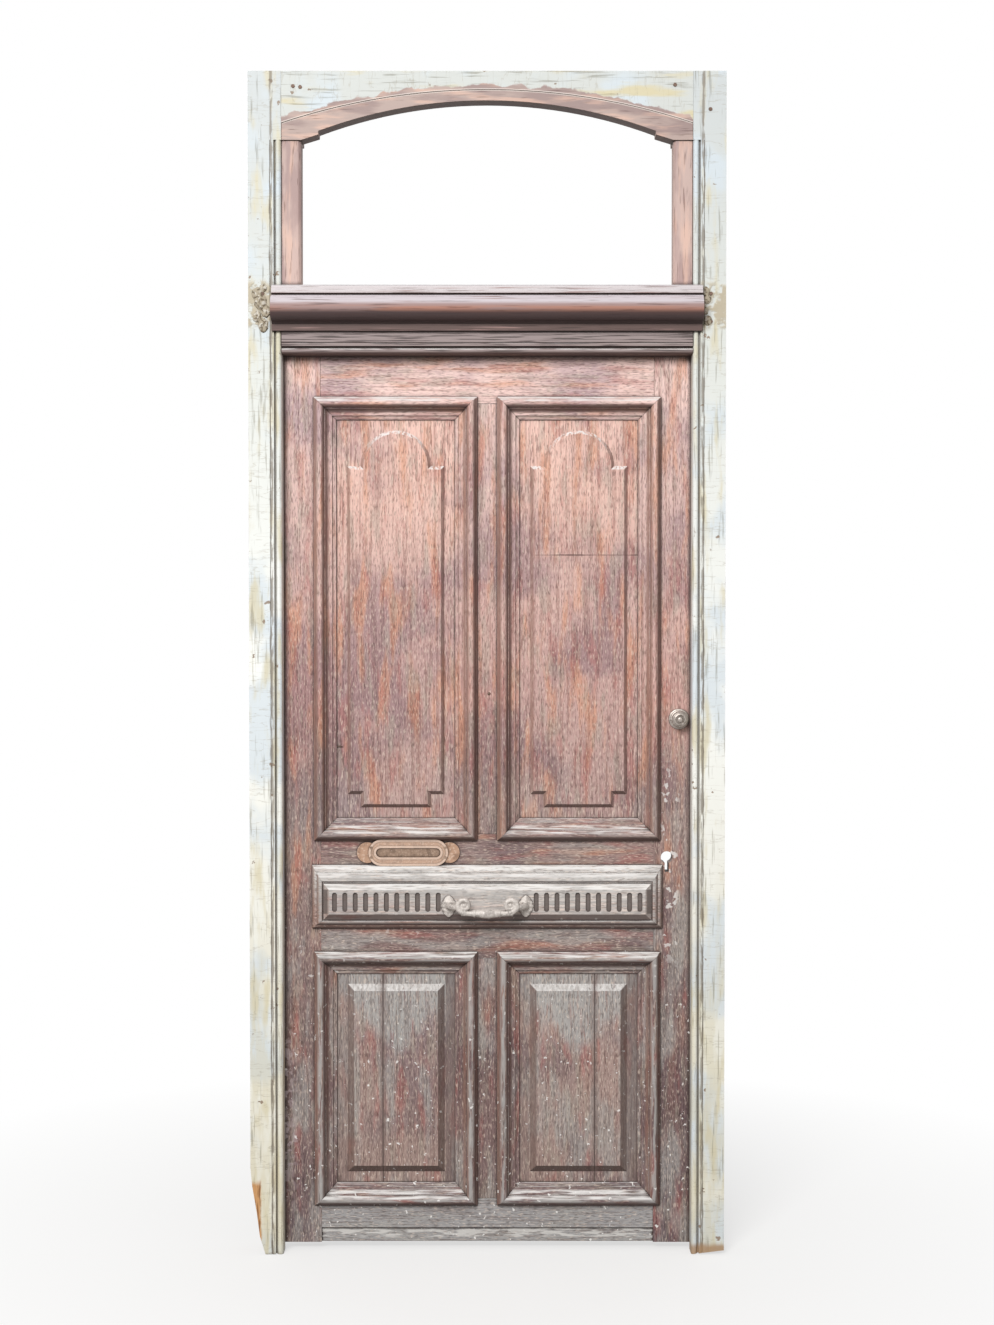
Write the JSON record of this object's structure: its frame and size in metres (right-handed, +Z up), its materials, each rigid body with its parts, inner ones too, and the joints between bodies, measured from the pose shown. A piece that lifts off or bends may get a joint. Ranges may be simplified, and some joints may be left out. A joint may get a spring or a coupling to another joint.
{
  "type": "panelled front door",
  "caption": "Panelled oak entrance door hung in its frame, with an arched fanlight opening, round-nosed transom, moulded and fluted panels, letter plate, pull handle and knob.",
  "frame": {"origin": "middle of the frame's foot, on the plane of the frame's front faces", "axes": "+X to the right seen from outside, +Y into the house, +Z up"},
  "size_m": [1.068, 0.1444, 2.655],
  "materials": {
    "painted_frame_oak": "oak under old pale paint, stained and chipped",
    "varnished_oak": "faded brown varnish",
    "leaf_oak": "red-brown varnished oak, faded",
    "weathered_oak": "dark weathered oak with greyed grain",
    "hinge_iron": "old dark iron",
    "nail_iron": "rusty iron",
    "letter_bronze": "worn copper-brown patina",
    "handle_iron": "pale grey weathered casting",
    "knob_metal": "dull grey metal"
  },
  "bodies": {
    "frame": {"fanlight_stile_left": "varnished_oak", "fanlight_stile_right": "varnished_oak", "frame_nails": "nail_iron", "head_rail": "painted_frame_oak", "hinge_frame_screws": "hinge_iron", "hinge_jamb": "painted_frame_oak", "hinge_pin_half_bottom": "hinge_iron", "hinge_pin_half_middle": "hinge_iron", "hinge_pin_half_top": "hinge_iron", "lock_jamb": "painted_frame_oak", "transom_bar": "painted_frame_oak", "transom_nosing": "varnished_oak"},
    "leaf": {"bottom_rail": "weathered_oak", "cross_moulding_bottom": "weathered_oak", "cross_moulding_left": "weathered_oak", "cross_moulding_right": "weathered_oak", "cross_moulding_top": "weathered_oak", "cross_panel": "weathered_oak", "flap_pin": "letter_bronze", "handle_bolts": "nail_iron", "hinge_barrel_half_bottom": "hinge_iron", "hinge_barrel_half_middle": "hinge_iron", "hinge_barrel_half_top": "hinge_iron", "hinge_leaf_screws": "hinge_iron", "hinge_stile": "leaf_oak", "knob_rose": "knob_metal", "letter_plate": "letter_bronze", "letter_plate_screws": "letter_bronze", "lock_stile": "leaf_oak", "lower_left_moulding_bottom": "weathered_oak", "lower_left_moulding_left": "weathered_oak", "lower_left_moulding_right": "weathered_oak", "lower_left_moulding_top": "weathered_oak", "lower_left_panel": "weathered_oak", "lower_middle_rail": "weathered_oak", "lower_mullion": "weathered_oak", "lower_right_moulding_bottom": "weathered_oak", "lower_right_moulding_left": "weathered_oak", "lower_right_moulding_right": "weathered_oak", "lower_right_moulding_top": "weathered_oak", "lower_right_panel": "weathered_oak", "pull_handle": "handle_iron", "pull_knob": "knob_metal", "top_rail": "leaf_oak", "upper_left_moulding_bottom": "leaf_oak", "upper_left_moulding_left": "leaf_oak", "upper_left_moulding_right": "leaf_oak", "upper_left_moulding_top": "leaf_oak", "upper_left_panel": "leaf_oak", "upper_middle_rail": "leaf_oak", "upper_mullion": "leaf_oak", "upper_right_moulding_bottom": "leaf_oak", "upper_right_moulding_left": "leaf_oak", "upper_right_moulding_right": "leaf_oak", "upper_right_moulding_top": "leaf_oak", "upper_right_panel": "leaf_oak"},
    "flap": {"letter_flap": "letter_bronze"}
  },
  "joints": [
    {"name": "leaf_swing", "type": "hinge", "parent": "frame", "child": "leaf", "pos_m": [-0.474, 0.094, 1.025], "axis": [0, 0, 1], "range_deg": [0, 110]},
    {"name": "flap_swing", "type": "hinge", "parent": "leaf", "child": "flap", "pos_m": [-0.179, 0.04, 0.9143], "axis": [1, 0, 0], "range_deg": [0, 75]}
  ]
}
